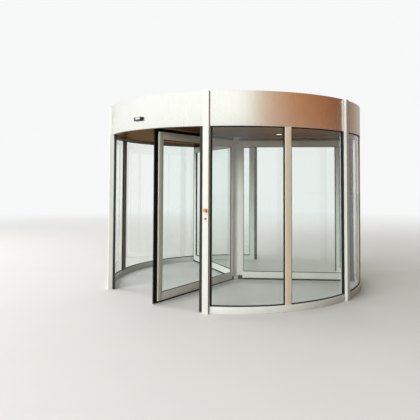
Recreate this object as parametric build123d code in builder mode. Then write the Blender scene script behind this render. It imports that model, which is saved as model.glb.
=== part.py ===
"""Automatic revolving door with three wings, for a glazed building front.

A round drum stands on the floor: six posts, four mullions, curved glass on curved base rails,
and a canopy that holds the drive. A rotor of three framed glass wings turns inside it on a
centre column. Sizes are in millimetres, +Z is up, and the origin is on the floor on the
turning axis, with the street side towards -Y. An angle is counted about Z from -Y, and grows
towards +X.
"""

import math
import os

from build123d import *

# Overall sizes
drum_radius = 1900
total_height = 2620
clear_height = 2200
entrance_angle = 60

# Wall frame: base rails, posts and mullions
base_height = 82
wall_depth = 58
skin_thickness = 4
cap_width = 74
cap_depth = 39
cap_rounding = 5
reveal_width = 5
reveal_depth = 20
bead_width = 11
mullion_width = 82
mullion_setback = 2
joint_gap = 0.3

# Curved glass and the grooves that hold it
glass_thickness = 12
glass_setback = 24
glass_play = 0.5
groove_depth = 14
groove_top_play = 4

# Rubber safety edges on the entrance posts
edge_neck_width = 10
edge_neck_depth = 17
edge_bulb_width = 42
edge_bulb_depth = 33
edge_bulb_rounding = 13
edge_floor_gap = 8

# Canopy
ring_height = 60
ceiling_rise = 25
ceiling_thickness = 12
roof_thickness = 6
roof_drop = 10
roof_rim_width = 30
roof_rim_height = 50
light_count = 4
light_circle_radius = 840
light_radius = 52
light_height = 30
light_lip_radius = 68
light_lip_thickness = 3

# Drive above the ceiling
beam_width = 200
beam_share = 0.35
beam_wall = 6
beam_end_gap = 12
bearing_radius = 95
gearbox_length = 320
gearbox_width = 170
gearbox_share = 0.4
motor_share = 0.18
motor_length = 260
drive_bore_play = 1

# Rotor: centre column and its bearings
wing_count = 3
wing_rest_angle = 6.5
column_apothem = 32
stile_foot = 75
spindle_radius = 25
spindle_clearance = 0.05
collar_radius = 27
collar_bottom = 22
pin_radius = 12
pin_bottom = 4
cup_radius = 22
cup_height = 16

# Rotor: wings
wing_thickness = 45
wing_bottom = 38
wing_top_gap = 53
inner_stile = 95
outer_stile = 85
wing_rail = 95
wing_glass_thickness = 8
wing_glass_play = 0.5
wing_groove_depth = 12
wing_groove_play = 4

# Rotor: brush seals
seal_gap = 7
seal_length = 70
seal_thickness = 20
seal_floor_gap = 8
seal_ceiling_gap = 8
seal_start = 46
seal_rounding = 14

# Sensors over the entrances
sensor_width = 142
sensor_height = 50
sensor_depth = 32
sensor_rise = 107
sensor_rounding = 10
sensor_window_width = 98
sensor_window_height = 28
sensor_window_rise = 7
sensor_window_depth = 6

# Push buttons on the caps
stop_height = 1205
stop_collar_radius = 20
stop_collar_height = 9
stop_neck_radius = 13
stop_neck_height = 10
stop_head_radius = 23
stop_head_height = 12
stop_head_rounding = 4
slow_drop = 99
slow_collar_radius = 15
slow_collar_height = 4
slow_button_radius = 11
slow_button_height = 6

# Places worked out from the sizes above
inner_radius = drum_radius - wall_depth
frame_radius = drum_radius - skin_thickness
cap_radius = frame_radius + cap_depth
reveal_radius = drum_radius - reveal_depth
glass_outer_radius = drum_radius - glass_setback
glass_inner_radius = glass_outer_radius - glass_thickness
groove_outer_radius = glass_outer_radius + glass_play
groove_inner_radius = glass_inner_radius - glass_play
glass_bottom = base_height - groove_depth
glass_top = clear_height + groove_depth - groove_top_play
ceiling_bottom = clear_height + ceiling_rise
ring_top = clear_height + ring_height
roof_top = total_height - roof_drop
drive_room = roof_top - roof_rim_height - ring_top
beam_height = beam_share * drive_room
beam_top = ring_top + beam_height
reveal_edge = cap_width / 2 + reveal_width
bead_edge = reveal_edge + bead_width
slow_height = stop_height - slow_drop
wing_top = ceiling_bottom - wing_top_gap
seal_radius = inner_radius - seal_gap
seal_top = ceiling_bottom - seal_ceiling_gap
wing_radius = seal_radius - seal_length
stile_edge = column_apothem + inner_stile

# Where the walls begin and end: the front posts, the facade posts and the rear posts
wall_span = (180 - entrance_angle) / 2
front_angle = entrance_angle / 2
facade_angle = front_angle + wall_span
rear_angle = facade_angle + wall_span
wall_starts = {
    "front_right": front_angle,
    "rear_right": facade_angle,
    "rear_left": -rear_angle,
    "front_left": -facade_angle,
}

# The angle of each post, and which way its entrance lies, or 0 where there is none
posts = {
    "front_right": (front_angle, -1),
    "right_facade": (facade_angle, 0),
    "rear_right": (rear_angle, 1),
    "rear_left": (-rear_angle, -1),
    "left_facade": (-facade_angle, 0),
    "front_left": (-front_angle, 1),
}

os.makedirs("parts", exist_ok=True)


def side_angle(half_width, radius):
    """Angle from a post's middle line to its flat side, plus the joint gap, at a radius."""
    return math.degrees(math.asin((half_width + joint_gap) / radius))


def facing(angle, height=0):
    """Level plane turned so that its own -Y points out of the drum at an angle."""
    return Plane.XY.rotated((0, 0, angle)).offset(height)


def outward(angle, radius, height):
    """Upright plane at a radius and a height, that looks out of the drum at an angle."""
    turned = facing(angle)
    origin = turned.from_local_coords(Vector(0, -radius, height))
    return Plane(origin=origin, x_dir=turned.x_dir, z_dir=-turned.y_dir)


def sector(inner, outer, start, end):
    """Flat ring sector between two radii and two angles, for a sketch to add."""
    with BuildSketch() as shape:
        with BuildLine():
            far = CenterArc((0, 0), outer, start - 90, end - start)
            near = CenterArc((0, 0), inner, start - 90, end - start)
            Line(far @ 0, near @ 0)
            Line(far @ 1, near @ 1)
        make_face()
    return shape.sketch


def bar(start, end, inner, outer):
    """Draws a rectangle from one side distance to another and between two radii."""
    with Locations(((start + end) / 2, -(inner + outer) / 2)):
        Rectangle(abs(end - start), outer - inner)


def panel(left, right, bottom, top, mode=Mode.ADD):
    """Draws a rectangle from its four edges in the open sketch."""
    with Locations(((left + right) / 2, (bottom + top) / 2)):
        Rectangle(right - left, top - bottom, mode=mode)


def save(block, name):
    """Labels a finished piece and writes its file."""
    block.part.label = name
    export_step(block.part, f"parts/{name}.step")


# Posts: a core in the wall, a glazing bead past a recessed reveal on each glass side, and a
# proud cap that runs on up to the canopy's top.
for side, (angle, entrance) in posts.items():
    glass_sides = [way for way in (-1, 1) if way != entrance]
    with BuildPart() as post:
        with BuildSketch(facing(angle)):
            bar(-cap_width / 2, cap_width / 2, inner_radius, frame_radius)
            for way in glass_sides:
                bar(way * cap_width / 2, way * reveal_edge, inner_radius, reveal_radius)
        extrude(amount=clear_height)
        with BuildSketch(facing(angle, base_height)):
            for way in glass_sides:
                bar(way * reveal_edge, way * bead_edge, inner_radius, frame_radius)
        extrude(amount=clear_height - base_height)
        with BuildSketch(facing(angle)):
            bar(-cap_width / 2, cap_width / 2, frame_radius, cap_radius)
        extrude(amount=total_height)
        corners = post.edges().filter_by(Axis.Z).sort_by(SortBy.DISTANCE)[-2:]
        fillet(corners, cap_rounding)
    save(post, f"{side}_post")

# Safety edges: a rubber bulb on a neck, on the entrance side of each entrance post.
with BuildPart() as safety_edges:
    for angle, entrance in posts.values():
        if entrance:
            neck_edge = cap_width / 2 + edge_neck_width
            neck_inset = (edge_bulb_depth - edge_neck_depth) / 2
            bulb_middle = neck_edge + edge_bulb_width / 2
            with BuildSketch(facing(angle, edge_floor_gap)):
                bar(
                    entrance * cap_width / 2,
                    entrance * bulb_middle,
                    inner_radius + neck_inset,
                    inner_radius + edge_bulb_depth - neck_inset,
                )
                with Locations((entrance * bulb_middle, -(inner_radius + edge_bulb_depth / 2))):
                    RectangleRounded(edge_bulb_width, edge_bulb_depth, edge_bulb_rounding)
            extrude(amount=clear_height - edge_floor_gap)
save(safety_edges, "safety_edges")

# Each of the four walls: a base rail from post to post, a mullion that stands in its middle on
# the rail, and a curved pane on each side of the mullion.
for side, start in wall_starts.items():
    middle = start + wall_span / 2
    end = start + wall_span
    rail_cut = side_angle(reveal_edge, inner_radius)
    with BuildPart() as base_rail:
        with BuildSketch():
            add(sector(inner_radius, drum_radius, start + rail_cut, end - rail_cut))
        extrude(amount=base_height)
        with BuildSketch(Plane.XY.offset(glass_bottom)):
            add(sector(groove_inner_radius, groove_outer_radius, start, end))
        extrude(amount=groove_depth, mode=Mode.SUBTRACT)
    save(base_rail, f"{side}_base_rail")

    with BuildPart() as mullion:
        with BuildSketch(facing(middle, base_height)):
            bar(-mullion_width / 2, mullion_width / 2, inner_radius, drum_radius - mullion_setback)
        extrude(amount=clear_height - base_height)
    save(mullion, f"{side}_mullion")

    post_cut = side_angle(bead_edge, glass_inner_radius)
    mullion_cut = side_angle(mullion_width / 2, glass_inner_radius)
    with BuildPart() as glass:
        with BuildSketch(Plane.XY.offset(glass_bottom)):
            for pane_start, pane_end in (
                (start + post_cut, middle - mullion_cut),
                (middle + mullion_cut, end - post_cut),
            ):
                add(sector(glass_inner_radius, glass_outer_radius, pane_start, pane_end))
        extrude(amount=glass_top - glass_bottom)
    save(glass, f"{side}_glass")

# Canopy ring: joins the posts' heads, and its grooves take the panes from above.
with BuildPart() as canopy_ring:
    with BuildSketch(Plane.XY.offset(clear_height)):
        Circle(frame_radius)
        Circle(inner_radius, mode=Mode.SUBTRACT)
    extrude(amount=ring_height)
    with BuildSketch(Plane.XY.offset(clear_height)):
        groove_cut = side_angle(reveal_edge, glass_inner_radius)
        for start in wall_starts.values():
            groove_ends = (start + groove_cut, start + wall_span - groove_cut)
            add(sector(groove_inner_radius, groove_outer_radius, *groove_ends))
    extrude(amount=groove_depth, mode=Mode.SUBTRACT)
save(canopy_ring, "canopy_ring")

# Fascia: six curved sheets round the ring and the roof's rim. The two over the entrances meet
# the caps, and the four over the walls leave the reveals open.
fascias = {
    "front": (-front_angle, front_angle),
    "rear": (rear_angle, rear_angle + entrance_angle),
    **{side: (start, start + wall_span) for side, start in wall_starts.items()},
}
for side, (start, end) in fascias.items():
    over_entrance = side in ("front", "rear")
    sheet_cut = side_angle(cap_width / 2 if over_entrance else reveal_edge, frame_radius)
    with BuildPart() as fascia:
        with BuildSketch(Plane.XY.offset(clear_height)):
            add(sector(frame_radius, drum_radius, start + sheet_cut, end - sheet_cut))
        extrude(amount=total_height - clear_height)
    save(fascia, f"{side}_fascia")

# Ceiling: a round panel inside the ring, with holes for the lights and the top bearing.
with BuildPart() as ceiling:
    with BuildSketch(Plane.XY.offset(ceiling_bottom)):
        Circle(inner_radius)
        Circle(bearing_radius + joint_gap, mode=Mode.SUBTRACT)
        with PolarLocations(light_circle_radius, light_count):
            Circle(light_radius + joint_gap, mode=Mode.SUBTRACT)
    extrude(amount=ceiling_thickness)
save(ceiling, "ceiling")

# Downlights: closed cans, each with a lip under the ceiling.
with BuildPart() as downlights:
    with BuildSketch(Plane.XY.offset(ceiling_bottom)):
        with PolarLocations(light_circle_radius, light_count):
            Circle(light_radius)
    extrude(amount=light_height)
    with BuildSketch(Plane.XY.offset(ceiling_bottom - light_lip_thickness)):
        with PolarLocations(light_circle_radius, light_count):
            Circle(light_lip_radius)
    extrude(amount=light_lip_thickness)
save(downlights, "downlights")

# Roof cover: a round lid with a rim inside the fascia's top.
with BuildPart() as roof_cover:
    with BuildSketch(Plane.XY.offset(roof_top - roof_rim_height)):
        Circle(frame_radius)
        Circle(frame_radius - roof_rim_width, mode=Mode.SUBTRACT)
    extrude(amount=roof_rim_height)
    with BuildSketch(Plane.XY.offset(roof_top - roof_thickness)):
        Circle(frame_radius)
    extrude(amount=roof_thickness)
save(roof_cover, "roof_cover")

# Drive beam: a box section across the ring along the facade line, with the top bearing's
# housing through its middle.
beam_length = 2 * (frame_radius - beam_end_gap)
with BuildPart() as drive_beam:
    with BuildSketch(Plane.YZ.offset(-beam_length / 2)):
        panel(-beam_width / 2, beam_width / 2, ring_top, beam_top)
        panel(
            beam_wall - beam_width / 2,
            beam_width / 2 - beam_wall,
            ring_top + beam_wall,
            beam_top - beam_wall,
            mode=Mode.SUBTRACT,
        )
    extrude(amount=beam_length)
    with BuildSketch(Plane.XY.offset(ceiling_bottom)):
        Circle(bearing_radius)
    extrude(amount=beam_top - ceiling_bottom)
    with BuildSketch(Plane.XY.offset(ceiling_bottom)):
        Circle(spindle_radius + spindle_clearance)
    extrude(amount=beam_top - ceiling_bottom, mode=Mode.SUBTRACT)
save(drive_beam, "drive_beam")

# Drive unit: a gearbox on the beam round the spindle's axis, with its motor lying beside it.
motor_radius = motor_share * drive_room
with BuildPart() as drive_unit:
    with BuildSketch(Plane.XY.offset(beam_top)):
        Rectangle(gearbox_length, gearbox_width)
        Circle(spindle_radius + drive_bore_play, mode=Mode.SUBTRACT)
    extrude(amount=gearbox_share * drive_room)
    with BuildSketch(Plane.YZ.offset(gearbox_length / 2)):
        with Locations((0, beam_top + motor_radius)):
            Circle(motor_radius)
    extrude(amount=motor_length)
save(drive_unit, "drive_unit")

# Floor bearing: a low cup on the floor that the column's pin turns in.
with BuildPart() as floor_bearing:
    with BuildSketch():
        Circle(cup_radius)
    extrude(amount=cup_height)
    with BuildSketch(Plane.XY.offset(pin_bottom)):
        Circle(pin_radius + spindle_clearance)
    extrude(amount=cup_height - pin_bottom, mode=Mode.SUBTRACT)
save(floor_bearing, "floor_bearing")

# Centre column: a six-sided profile with a flat for each wing, the spindle above it, and the
# collar and the pin below it.
with BuildPart() as centre_column:
    with BuildSketch(facing(wing_rest_angle, stile_foot)):
        RegularPolygon(column_apothem, 2 * wing_count, major_radius=False)
    extrude(amount=wing_top - stile_foot)
    with BuildSketch(Plane.XY.offset(wing_top)):
        Circle(spindle_radius)
    extrude(amount=beam_top - wing_top)
    with BuildSketch(Plane.XY.offset(collar_bottom)):
        Circle(collar_radius)
    extrude(amount=stile_foot - collar_bottom)
    with BuildSketch(Plane.XY.offset(pin_bottom)):
        Circle(pin_radius)
    extrude(amount=collar_bottom - pin_bottom)
save(centre_column, "centre_column")

# Wings: each has a frame with a short inner stile, a pane in the frame's groove, and brush
# seals outside, above and below. The upright plane has +X out along the wing and +Y up.
window = (stile_edge, wing_radius - outer_stile, wing_bottom + wing_rail, wing_top - wing_rail)
groove = [edge + way * wing_groove_depth for edge, way in zip(window, (-1, 1, -1, 1))]
pane = [edge - way * wing_groove_play for edge, way in zip(groove, (-1, 1, 0, 1))]
groove_width = wing_glass_thickness + 2 * wing_glass_play
for index, name in enumerate(["first_wing", "second_wing", "third_wing"][:wing_count]):
    upright = Plane.XZ.rotated((0, 0, wing_rest_angle + index * 360 / wing_count - 90))

    with BuildPart() as wing_frame:
        with BuildSketch(upright.offset(-wing_thickness / 2)):
            panel(column_apothem, wing_radius, wing_bottom, wing_top)
            panel(*window, mode=Mode.SUBTRACT)
            panel(column_apothem, stile_edge, wing_bottom, stile_foot, mode=Mode.SUBTRACT)
        extrude(amount=wing_thickness)
        with BuildSketch(upright.offset(-groove_width / 2)):
            panel(*groove)
        extrude(amount=groove_width, mode=Mode.SUBTRACT)
    save(wing_frame, f"{name}_frame")

    with BuildPart() as wing_glass:
        with BuildSketch(upright.offset(-wing_glass_thickness / 2)):
            panel(*pane)
        extrude(amount=wing_glass_thickness)
    save(wing_glass, f"{name}_glass")

    with BuildPart() as wing_seals:
        with BuildSketch(upright.offset(-seal_thickness / 2)) as seal_outline:
            panel(seal_start, seal_radius, seal_floor_gap, seal_top)
            panel(seal_start, wing_radius, wing_bottom, wing_top, mode=Mode.SUBTRACT)
            panel(seal_start, stile_edge, wing_bottom, stile_foot)
            fillet(seal_outline.vertices().sort_by(Axis.X)[-2:], seal_rounding)
        extrude(amount=seal_thickness)
    save(wing_seals, f"{name}_seals")

# Presence sensors: a rounded housing on the fascia over each entrance, with a clear window let
# into its face.
sensor_middle = clear_height + sensor_rise + sensor_height / 2
window_middle = sensor_middle + sensor_window_rise
window_radius = drum_radius + sensor_depth - sensor_window_depth
with BuildPart() as sensor_housings:
    for angle in (0, 180):
        with BuildSketch(outward(angle, drum_radius, sensor_middle)):
            RectangleRounded(sensor_width, sensor_height, sensor_rounding)
        extrude(amount=sensor_depth)
        with BuildSketch(outward(angle, window_radius, window_middle)):
            RectangleRounded(sensor_window_width, sensor_window_height, sensor_rounding)
        extrude(amount=sensor_window_depth, mode=Mode.SUBTRACT)
save(sensor_housings, "sensor_housings")

with BuildPart() as sensor_windows:
    for angle in (0, 180):
        with BuildSketch(outward(angle, window_radius, window_middle)):
            RectangleRounded(
                sensor_window_width - 2 * joint_gap,
                sensor_window_height - 2 * joint_gap,
                sensor_rounding - joint_gap,
            )
        extrude(amount=sensor_window_depth / 2)
save(sensor_windows, "sensor_windows")

# Push buttons on the cap of one post at each entrance: a mushroom head for the emergency stop,
# and a small round button below it that slows the rotor.
button_angles = [posts[side][0] for side in ("front_right", "rear_left")]
with BuildPart() as emergency_stops:
    for angle in button_angles:
        neck_start = cap_radius + stop_collar_height
        head_start = neck_start + stop_neck_height
        with BuildSketch(outward(angle, cap_radius, stop_height)):
            Circle(stop_collar_radius)
        extrude(amount=stop_collar_height)
        with BuildSketch(outward(angle, neck_start, stop_height)):
            Circle(stop_neck_radius)
        extrude(amount=stop_neck_height)
        with BuildSketch(outward(angle, head_start, stop_height)):
            Circle(stop_head_radius)
        extrude(amount=stop_head_height)
        rim = emergency_stops.edges().filter_by(GeomType.CIRCLE)
        rim = rim.sort_by(lambda edge: outward(angle, 0, 0).to_local_coords(edge.center()).Z)[-1]
        fillet(rim, stop_head_rounding)
save(emergency_stops, "emergency_stops")

with BuildPart() as slow_buttons:
    for angle in button_angles:
        with BuildSketch(outward(angle, cap_radius, slow_height)):
            Circle(slow_collar_radius)
        extrude(amount=slow_collar_height)
        with BuildSketch(outward(angle, cap_radius + slow_collar_height, slow_height)):
            Circle(slow_button_radius)
        extrude(amount=slow_button_height)
save(slow_buttons, "slow_buttons")
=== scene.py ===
"""Three-wing automatic revolving door: its visible pieces and finishes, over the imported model.

Lengths are in metres and +Z is up. An angle is in degrees about Z, counted from -Y, and grows
towards +X. A post or mullion is drawn by its own side (along the wall) and radius.
"""

import math
import random

import bmesh
import bpy
from mathutils import Matrix, Vector


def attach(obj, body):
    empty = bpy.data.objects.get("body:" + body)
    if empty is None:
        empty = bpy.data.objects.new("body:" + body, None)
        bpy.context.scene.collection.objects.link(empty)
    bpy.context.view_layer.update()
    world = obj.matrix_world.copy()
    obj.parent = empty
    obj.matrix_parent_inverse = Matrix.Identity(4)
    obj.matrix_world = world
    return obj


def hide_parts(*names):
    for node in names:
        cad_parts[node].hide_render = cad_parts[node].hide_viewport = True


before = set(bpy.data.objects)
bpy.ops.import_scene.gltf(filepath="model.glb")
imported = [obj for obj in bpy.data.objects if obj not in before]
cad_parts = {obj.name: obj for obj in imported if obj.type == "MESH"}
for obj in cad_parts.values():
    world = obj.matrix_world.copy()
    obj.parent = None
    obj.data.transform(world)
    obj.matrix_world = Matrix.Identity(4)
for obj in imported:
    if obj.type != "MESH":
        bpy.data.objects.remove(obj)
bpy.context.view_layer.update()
scene = bpy.context.scene

# Camera: at standing eye height, to the right of the front entrance, with the view window
# shifted a little left and down.
camera_azimuth = 40.458
camera_distance = 7.415
camera_height = 1.57
camera_yaw = 0.555
camera_pitch = 2.249
camera_roll = 0.161

lens = bpy.data.cameras.new("camera")
lens.sensor_width = 36
lens.lens = 40.269
lens.shift_x = -0.0498
lens.shift_y = -0.1175
lens.clip_end = 200
camera = bpy.data.objects.new("camera", lens)
scene.collection.objects.link(camera)
scene.camera = camera
camera.matrix_world = (
    Matrix.Rotation(math.radians(camera_azimuth), 4, "Z")
    @ Matrix.Translation((0, -camera_distance, camera_height))
    @ Matrix.Rotation(math.radians(camera_yaw), 4, "Z")
    @ Matrix.Rotation(math.radians(90 + camera_pitch), 4, "X")
    @ Matrix.Rotation(math.radians(camera_roll), 4, "Z")
)
scene.view_settings.view_transform = "Standard"


# Studio: a wide pale floor, a surround that is brighter in front than behind, and large soft
# lamps. Metal and glass mirror a bright front that turns brown and dark towards the right.
class Value:
    """Output of a shader node. Arithmetic on it adds Math nodes."""

    def __init__(self, finish, socket):
        self.finish = finish
        self.socket = socket

    def math(self, operation, *values):
        return self.finish.node("ShaderNodeMath", {"operation": operation}, dict(enumerate(values)))

    def __add__(self, other):
        return self.math("ADD", self, other)

    def __mul__(self, other):
        return self.math("MULTIPLY", self, other)

    def __sub__(self, other):
        return self.math("SUBTRACT", self, other)

    def __rsub__(self, other):
        return self.math("SUBTRACT", other, self)

    __radd__ = __add__
    __rmul__ = __mul__


class Finish:
    """Node tree of one material, or of the surround."""

    def __init__(self, owner):
        owner.use_nodes = True
        self.owner = owner
        self.tree = owner.node_tree
        self.tree.nodes.clear()

    def node(self, kind, settings=None, inputs=None, output=0):
        """Adds a node with its settings, then its sockets' values or links."""
        made = self.tree.nodes.new(kind)
        for key, setting in (settings or {}).items():
            if key == "stops":
                ramp = made.color_ramp.elements
                while len(ramp) < len(setting):
                    ramp.new(1)
                for stop, (place, color) in zip(ramp, setting):
                    stop.position = place
                    stop.color = color
            else:
                setattr(made, key, setting)
        for key, value in (inputs or {}).items():
            if isinstance(value, Value):
                self.tree.links.new(value.socket, made.inputs[key])
            else:
                made.inputs[key].default_value = value
        return Value(self, made.outputs[output])

    def rays(self, *kinds):
        """1 for rays of the kinds named, and 0 for others."""
        return sum(self.node("ShaderNodeLightPath", output=f"Is {kind} Ray") for kind in kinds)

    def place(self):
        """Where a point of the piece is, which moves with the piece."""
        return self.node("ShaderNodeTexCoord", output="Object")

    def part(self, place, axis):
        """One coordinate of a place."""
        return self.node("ShaderNodeSeparateXYZ", None, {0: place}, axis)

    def height(self):
        """Height of a point of the piece over its origin."""
        return self.part(self.place(), "Z")

    def stretch(self, vector, by):
        """Scales a place along each axis, or a colour as a whole."""
        return self.node("ShaderNodeVectorMath", {"operation": "MULTIPLY"}, {0: vector, 1: by})

    def grain(self, scale, detail=2, place=None):
        """Soft random pattern over the piece, from 0 to 1."""
        sockets = {"Vector": place or self.place(), "Scale": scale, "Detail": detail}
        return self.node("ShaderNodeTexNoise", None, {**sockets, "Roughness": 0.6})

    def rise(self, value, low, high, start=0, end=1):
        """Smooth step of a value between two limits."""
        sockets = {0: value, 1: low, 2: high, 3: start, 4: end}
        return self.node("ShaderNodeMapRange", {"interpolation_type": "SMOOTHSTEP"}, sockets)

    def blend(self, amount, color, other):
        """Mix of two colours by an amount."""
        sockets = {0: amount, 6: opaque(color), 7: opaque(other)}
        return self.node("ShaderNodeMix", {"data_type": "RGBA"}, sockets, output=2)

    def tones(self, amount, color, low, high):
        """Mix of two tones of one colour, each a multiple of it, by an amount."""
        tone, other = ([min(1, by * c) for c in color] for by in (low, high))
        return self.blend(amount, tone, other)

    def relief(self, pattern, strength, depth):
        """Bump from a pattern."""
        sockets = {"Strength": strength, "Distance": depth, "Height": pattern}
        return self.node("ShaderNodeBump", None, sockets)

    def skin(self, sockets):
        """Solid surface, from the values or links of its sockets."""
        return self.node("ShaderNodeBsdfPrincipled", None, sockets)

    def layers(self, amount, under, over):
        """Mix of two surfaces by an amount."""
        return self.node("ShaderNodeMixShader", None, {0: amount, 1: under, 2: over})

    def close(self, shader, kind="ShaderNodeOutputMaterial"):
        """Ends the tree with a shader, and gives back the material."""
        self.tree.links.new(shader.socket, self.tree.nodes.new(kind).inputs[0])
        return self.owner


def opaque(color):
    """A colour with full alpha, or a link as it is."""
    return color if isinstance(color, Value) else (*color, 1)


def begin(name):
    """Empty finish for a piece."""
    return Finish(bpy.data.materials.new(name))


surround_white = (0.93, 0.94, 0.935)
mirror_tones = (
    (-180, (0.5, 0.43, 0.36)),
    (-150, (0.7, 0.67, 0.61)),
    (-112, (1.0, 1.02, 0.99)),
    (-50, (1.235, 1.27, 1.26)),
    (47, (1.235, 1.27, 1.24)),
    (63, (0.745, 0.565, 0.41)),
    (90, (0.56, 0.25, 0.12)),
    (118, (0.41, 0.165, 0.066)),
    (145, (0.25, 0.09, 0.037)),
    (180, (0.5, 0.43, 0.36)),
)
ambient_tones = (
    (-180, (0.24, 0.23, 0.21)),
    (-110, (0.42, 0.42, 0.41)),
    (-50, (0.54, 0.55, 0.55)),
    (18, (0.48, 0.475, 0.46)),
    (52, (0.27, 0.235, 0.185)),
    (80, (0.13, 0.1, 0.07)),
    (140, (0.11, 0.09, 0.065)),
    (180, (0.24, 0.23, 0.21)),
)
sky_start = 0.35
sky_end = 1.45
sky_height = 0.55

world = bpy.data.worlds.new("surround")
scene.world = world
surround = Finish(world)
looking = surround.node("ShaderNodeTexCoord", output="Generated")
east, north, upward = (surround.part(looking, axis) for axis in "XYZ")
heading = east.math("ARCTAN2", east, 0 - north) * (0.5 / math.pi) + 0.5


def around(tones):
    """Colour of the surround by heading, from tones at angles."""
    stops = [((angle + 180) / 360, (*color, 1)) for angle, color in tones]
    return surround.node("ShaderNodeValToRGB", {"stops": stops}, {"Fac": heading})


sky = surround.rise(upward, 0, sky_height, sky_start, sky_end)
ambient = surround.stretch(around(ambient_tones), sky)
light = surround.blend(surround.rays("Glossy"), ambient, around(mirror_tones))
light = surround.blend(surround.rays("Camera", "Transmission"), light, surround_white)
glow = surround.node("ShaderNodeBackground", None, {"Color": light, "Strength": 1})
surround.close(glow, "ShaderNodeOutputWorld")

lamp_target = 1.2
for name, angle, distance, height, size, power in (
    ("front_lamp", 6, 15, 5.8, (11, 5), 1990),
    ("left_lamp", -62, 10, 5, (5, 5), 450),
    ("rear_lamp", -150, 12, 7, (8, 6), 420),
    ("overhead_lamp", 0, 2.5, 9, (6, 6), 90),
):
    lamp = bpy.data.lights.new(name, "AREA")
    lamp.shape = "RECTANGLE"
    lamp.size, lamp.size_y = size
    lamp.energy = power
    holder = bpy.data.objects.new(name, lamp)
    turn = math.radians(angle)
    holder.location = (distance * math.sin(turn), -distance * math.cos(turn), height)
    holder.rotation_euler = (math.atan2(distance, height - lamp_target), 0, turn)
    holder.visible_glossy = False
    holder.visible_transmission = False
    scene.collection.objects.link(holder)

floor_radius = 45
haze_start = 3
haze_end = 17
bounce_tone = (0.26, 0.235, 0.19)

drawing = bmesh.new()
bmesh.ops.create_circle(drawing, cap_ends=True, segments=96, radius=floor_radius)
floor_mesh = bpy.data.meshes.new("floor")
drawing.to_mesh(floor_mesh)
drawing.free()
floor = bpy.data.objects.new("floor", floor_mesh)
scene.collection.objects.link(floor)

stage = begin("pale_floor")
mottle = stage.grain(0.9, 3)
looked_at = stage.rays("Camera", "Transmission")
shown = looked_at + stage.rays("Glossy")
pale = stage.blend(mottle, (0.68, 0.675, 0.66), (0.73, 0.725, 0.71))
stage_skin = stage.skin(
    {
        "Base Color": stage.blend(shown, bounce_tone, pale),
        "Roughness": 0.5 + 0.1 * mottle,
        "Specular IOR Level": 0.25,
    }
)
reach = stage.node("ShaderNodeVectorMath", {"operation": "LENGTH"}, {0: stage.place()}, "Value")
haze = stage.node("ShaderNodeEmission", None, {"Color": (*surround_white, 1), "Strength": 1})
fade = stage.rise(reach, haze_start, haze_end) * looked_at
floor_mesh.materials.append(stage.close(stage.layers(fade, stage_skin, haze)))


# Posts: white coated aluminium. Each is a core in the wall, with a snapped-on cap outside that
# runs on up to the canopy's top, and a glazing bead past an open reveal on a glass side. Black
# strips on the reveal's floor and in the joint between cap and fascia are painted shade for that
# reveal and joint.
def at(angle, side, radius, height):
    """Point beside the upright middle line at an angle."""
    turn = math.radians(angle)
    sine, cosine = math.sin(turn), math.cos(turn)
    return Vector((radius * sine + side * cosine, side * sine - radius * cosine, height))


def rounded(corners, steps=4):
    """Outline from corners (x, y) or (x, y, radius); a radius turns a corner into an arc."""
    points = []
    for index, (x, y, *radius) in enumerate(corners):
        if not radius:
            points.append((x, y))
            continue
        here = Vector((x, y))
        back = (Vector(corners[index - 1][:2]) - here).normalized()
        ahead = (Vector(corners[(index + 1) % len(corners)][:2]) - here).normalized()
        half = math.acos(max(-1, min(1, back.dot(ahead)))) / 2
        middle = here + (back + ahead).normalized() * (radius[0] / math.sin(half))
        first = here + back * (radius[0] / math.tan(half)) - middle
        last = here + ahead * (radius[0] / math.tan(half)) - middle
        for step in range(steps + 1):
            spoke = first.lerp(last, step / steps).normalized() * radius[0]
            points.append(tuple(middle + spoke))
    return points


def rectangle(across, along, *radius):
    """Corners of a rectangle between limits, sharp or with one radius."""
    (left, right), (near, far) = across, along
    places = ((left, near), (right, near), (right, far), (left, far))
    return [(x, y, *radius) for x, y in places]


def facing(way, outline):
    """An outline on the right side (way 1), or mirrored over to the left one (way -1)."""
    return [(way * side, *rest) for side, *rest in outline]


def mirrored(half):
    """Whole outline from its left half."""
    return half + facing(-1, half[::-1])


def loft(drawing, rings, joined=False):
    """Skin over a row of point rings, with flat ends, or joined round into a hoop."""
    rows = [[drawing.verts.new(point) for point in ring] for ring in rings]
    pairs = list(zip(rows, rows[1:]))
    if joined:
        pairs.append((rows[-1], rows[0]))
    for near, far in pairs:
        for index in range(len(near)):
            ahead = (index + 1) % len(near)
            drawing.faces.new((near[index], near[ahead], far[ahead], far[index]))
    if not joined:
        drawing.faces.new(rows[0][::-1])
        drawing.faces.new(rows[-1])


def column(drawing, angle, outline, bottom, top):
    """Upright profile from an outline of (side, radius)."""
    heights = (bottom, top)
    loft(drawing, [[at(angle, side, radius, z) for side, radius in outline] for z in heights])


def piece(name, drawing, finish, body, stands_for=(), bevel=0.0, sharp=35):
    """Finishes a drawing into a piece: softened edges, smooth shading, finish and body."""
    bmesh.ops.recalc_face_normals(drawing, faces=drawing.faces)
    if bevel:
        limit = math.radians(sharp)
        edges = [e for e in drawing.edges if e.is_manifold and e.calc_face_angle() > limit]
        bmesh.ops.bevel(
            drawing,
            geom=edges,
            offset=bevel,
            segments=2,
            profile=0.6,
            affect="EDGES",
            clamp_overlap=True,
        )
    mesh = bpy.data.meshes.new(name)
    drawing.to_mesh(mesh)
    drawing.free()
    mesh.shade_smooth()
    mesh.set_sharp_from_angle(angle=math.radians(sharp))
    mesh.materials.append(finish)
    made = bpy.data.objects.new(name, mesh)
    scene.collection.objects.link(made)
    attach(made, body)
    if stands_for:
        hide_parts(*stands_for)


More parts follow.
